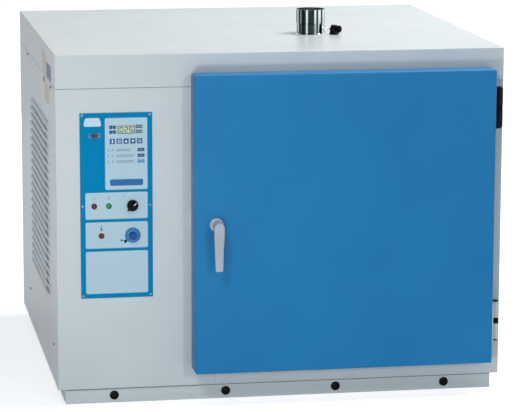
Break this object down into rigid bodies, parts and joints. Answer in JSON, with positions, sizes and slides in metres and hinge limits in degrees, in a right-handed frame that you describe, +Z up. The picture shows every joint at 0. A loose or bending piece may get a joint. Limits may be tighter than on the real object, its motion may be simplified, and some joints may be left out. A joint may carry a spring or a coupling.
{
  "type": "convection drying oven",
  "caption": "Floor or bench drying oven with a hinged door, shelves, side-mounted fan, heating rings, control panel and a flue with a damper.",
  "frame": {"origin": "on the floor under the middle of the casing, on the plinth's tie", "axes": "+X to the right of a person who faces the door, +Y to the back, +Z up"},
  "size_m": [1.1802, 1.2142, 0.976],
  "materials": {
    "casing_paint": "smooth pale grey-blue enamel",
    "door_paint": "smooth mid-blue enamel",
    "panel_paint": "satin bright-blue paint",
    "overlay_film": "satin pale-blue film",
    "chamber_steel": "fine brushed stainless",
    "zinc_steel": "bright zinc plate",
    "wool": "matt mineral wool",
    "seal_rubber": "matt pale silicone",
    "heater_sheath": "dull oxidised steel",
    "wheel_steel": "pressed stainless",
    "shaft_steel": "ground bright steel",
    "motor_paint": "satin dark-grey paint",
    "flue_steel": "brushed stainless tube",
    "black_plastic": "satin black moulding",
    "lever_metal": "satin cast light alloy",
    "rosette_metal": "bright plate",
    "key_plastic": "satin dark-blue moulding",
    "dial_plastic": "glossy light-blue moulding",
    "red_lens": "glossy translucent red",
    "green_lens": "glossy translucent green",
    "board_laminate": "green circuit laminate",
    "screw_steel": "bright nickel plate",
    "hinge_paint": "black enamel",
    "terminal_plastic": "matt ivory moulding",
    "gland_plastic": "matt black polyamide"
  },
  "bodies": {
    "cabinet": {"plinth": "casing_paint", "plinth_plugs": "black_plastic", "base_pan": "casing_paint", "top_cover": "casing_paint", "left_side_panel": "casing_paint", "right_side_panel": "casing_paint", "rear_panel": "casing_paint", "front_column_panel": "casing_paint", "front_sill_panel": "casing_paint", "front_stile_panel": "casing_paint", "throat_frame": "chamber_steel", "chamber_liner": "chamber_steel", "insulation_slabs": "wool", "insulation_bulkhead": "zinc_steel", "air_diffuser": "chamber_steel", "shelf_ladders": "chamber_steel", "heating_elements": "heater_sheath", "chamber_probes": "chamber_steel", "fan_motor": "motor_paint", "motor_mount": "zinc_steel", "flue_tube": "flue_steel", "damper_bracket": "black_plastic", "control_plate": "panel_paint", "control_overlays": "overlay_film", "display_unit": "board_laminate", "red_lamps": "red_lens", "green_lamp": "green_lens", "panel_switchgear": "black_plastic", "data_socket": "zinc_steel", "panel_screws": "screw_steel", "casing_screws": "screw_steel", "terminal_block": "terminal_plastic", "cable_gland": "gland_plastic", "lower_hinge_casing_leaf": "casing_paint", "upper_hinge_casing_leaf": "hinge_paint", "hinge_pins": "shaft_steel", "hinge_bushes": "black_plastic", "latch_keeper": "zinc_steel"},
    "door": {"door_outer_pan": "door_paint", "door_inner_panel": "chamber_steel", "door_insulation": "wool", "door_gasket": "seal_rubber", "lower_hinge_door_leaf": "casing_paint", "upper_hinge_door_leaf": "hinge_paint", "handle_rosette": "rosette_metal"},
    "handle": {"handle_lever": "lever_metal", "latch_cam": "zinc_steel"},
    "lower_shelf_body": {"lower_shelf": "chamber_steel"},
    "upper_shelf_body": {"upper_shelf": "chamber_steel"},
    "fan": {"fan_impeller": "wheel_steel", "fan_shaft": "shaft_steel"},
    "damper": {"damper_blade": "flue_steel", "damper_knob": "black_plastic"},
    "selector": {"selector_knob": "black_plastic"},
    "limiter_dial": {"limit_dial": "dial_plastic"},
    "key_body_1": {"key_1": "key_plastic"},
    "key_body_2": {"key_2": "key_plastic"},
    "key_body_3": {"key_3": "key_plastic"},
    "key_body_4": {"key_4": "key_plastic"},
    "key_body_5": {"key_5": "key_plastic"}
  },
  "joints": [
    {"name": "door_swing", "type": "hinge", "parent": "cabinet", "child": "door", "pos_m": [0.568, -0.555, 0.473], "axis": [0, 0, 1], "range_deg": [0, 120]},
    {"name": "handle_turn", "type": "hinge", "parent": "door", "child": "handle", "pos_m": [-0.183, -0.602, 0.477], "axis": [0, -1, 0], "range_deg": [0, 90]},
    {"name": "lower_shelf_slide", "type": "slide", "parent": "cabinet", "child": "lower_shelf_body", "axis": [0, -1, 0], "range_m": [0, 0.25]},
    {"name": "upper_shelf_slide", "type": "slide", "parent": "cabinet", "child": "upper_shelf_body", "axis": [0, -1, 0], "range_m": [0, 0.25]},
    {"name": "fan_spin", "type": "hinge", "parent": "cabinet", "child": "fan", "pos_m": [-0.2, -0.0795, 0.47], "axis": [1, 0, 0], "continuous": true},
    {"name": "damper_turn", "type": "hinge", "parent": "cabinet", "child": "damper", "pos_m": [0.148, -0.143, 0.925], "axis": [0.8192, -0.5736, 0], "range_deg": [0, 90]},
    {"name": "selector_turn", "type": "hinge", "parent": "cabinet", "child": "selector", "pos_m": [-0.3895, -0.533, 0.521], "axis": [0, 1, 0], "range_deg": [-90, 0]},
    {"name": "limit_dial_turn", "type": "hinge", "parent": "cabinet", "child": "limiter_dial", "pos_m": [-0.3895, -0.533, 0.4435], "axis": [0, 1, 0], "range_deg": [0, 270]},
    {"name": "key_1_press", "type": "slide", "parent": "cabinet", "child": "key_body_1", "axis": [0, 1, 0], "range_m": [0, 0.0008], "stiffness_N_per_m": 800, "springref_m": -0.0005},
    {"name": "key_2_press", "type": "slide", "parent": "cabinet", "child": "key_body_2", "axis": [0, 1, 0], "range_m": [0, 0.0008], "stiffness_N_per_m": 800, "springref_m": -0.0005},
    {"name": "key_3_press", "type": "slide", "parent": "cabinet", "child": "key_body_3", "axis": [0, 1, 0], "range_m": [0, 0.0008], "stiffness_N_per_m": 800, "springref_m": -0.0005},
    {"name": "key_4_press", "type": "slide", "parent": "cabinet", "child": "key_body_4", "axis": [0, 1, 0], "range_m": [0, 0.0008], "stiffness_N_per_m": 800, "springref_m": -0.0005},
    {"name": "key_5_press", "type": "slide", "parent": "cabinet", "child": "key_body_5", "axis": [0, 1, 0], "range_m": [0, 0.0008], "stiffness_N_per_m": 800, "springref_m": -0.0005}
  ],
  "couplings": [
    {"joint": "lower_shelf_slide", "follows": "door_swing", "m_per_rad": 0.1189},
    {"joint": "upper_shelf_slide", "follows": "door_swing", "m_per_rad": 0.1189}
  ]
}
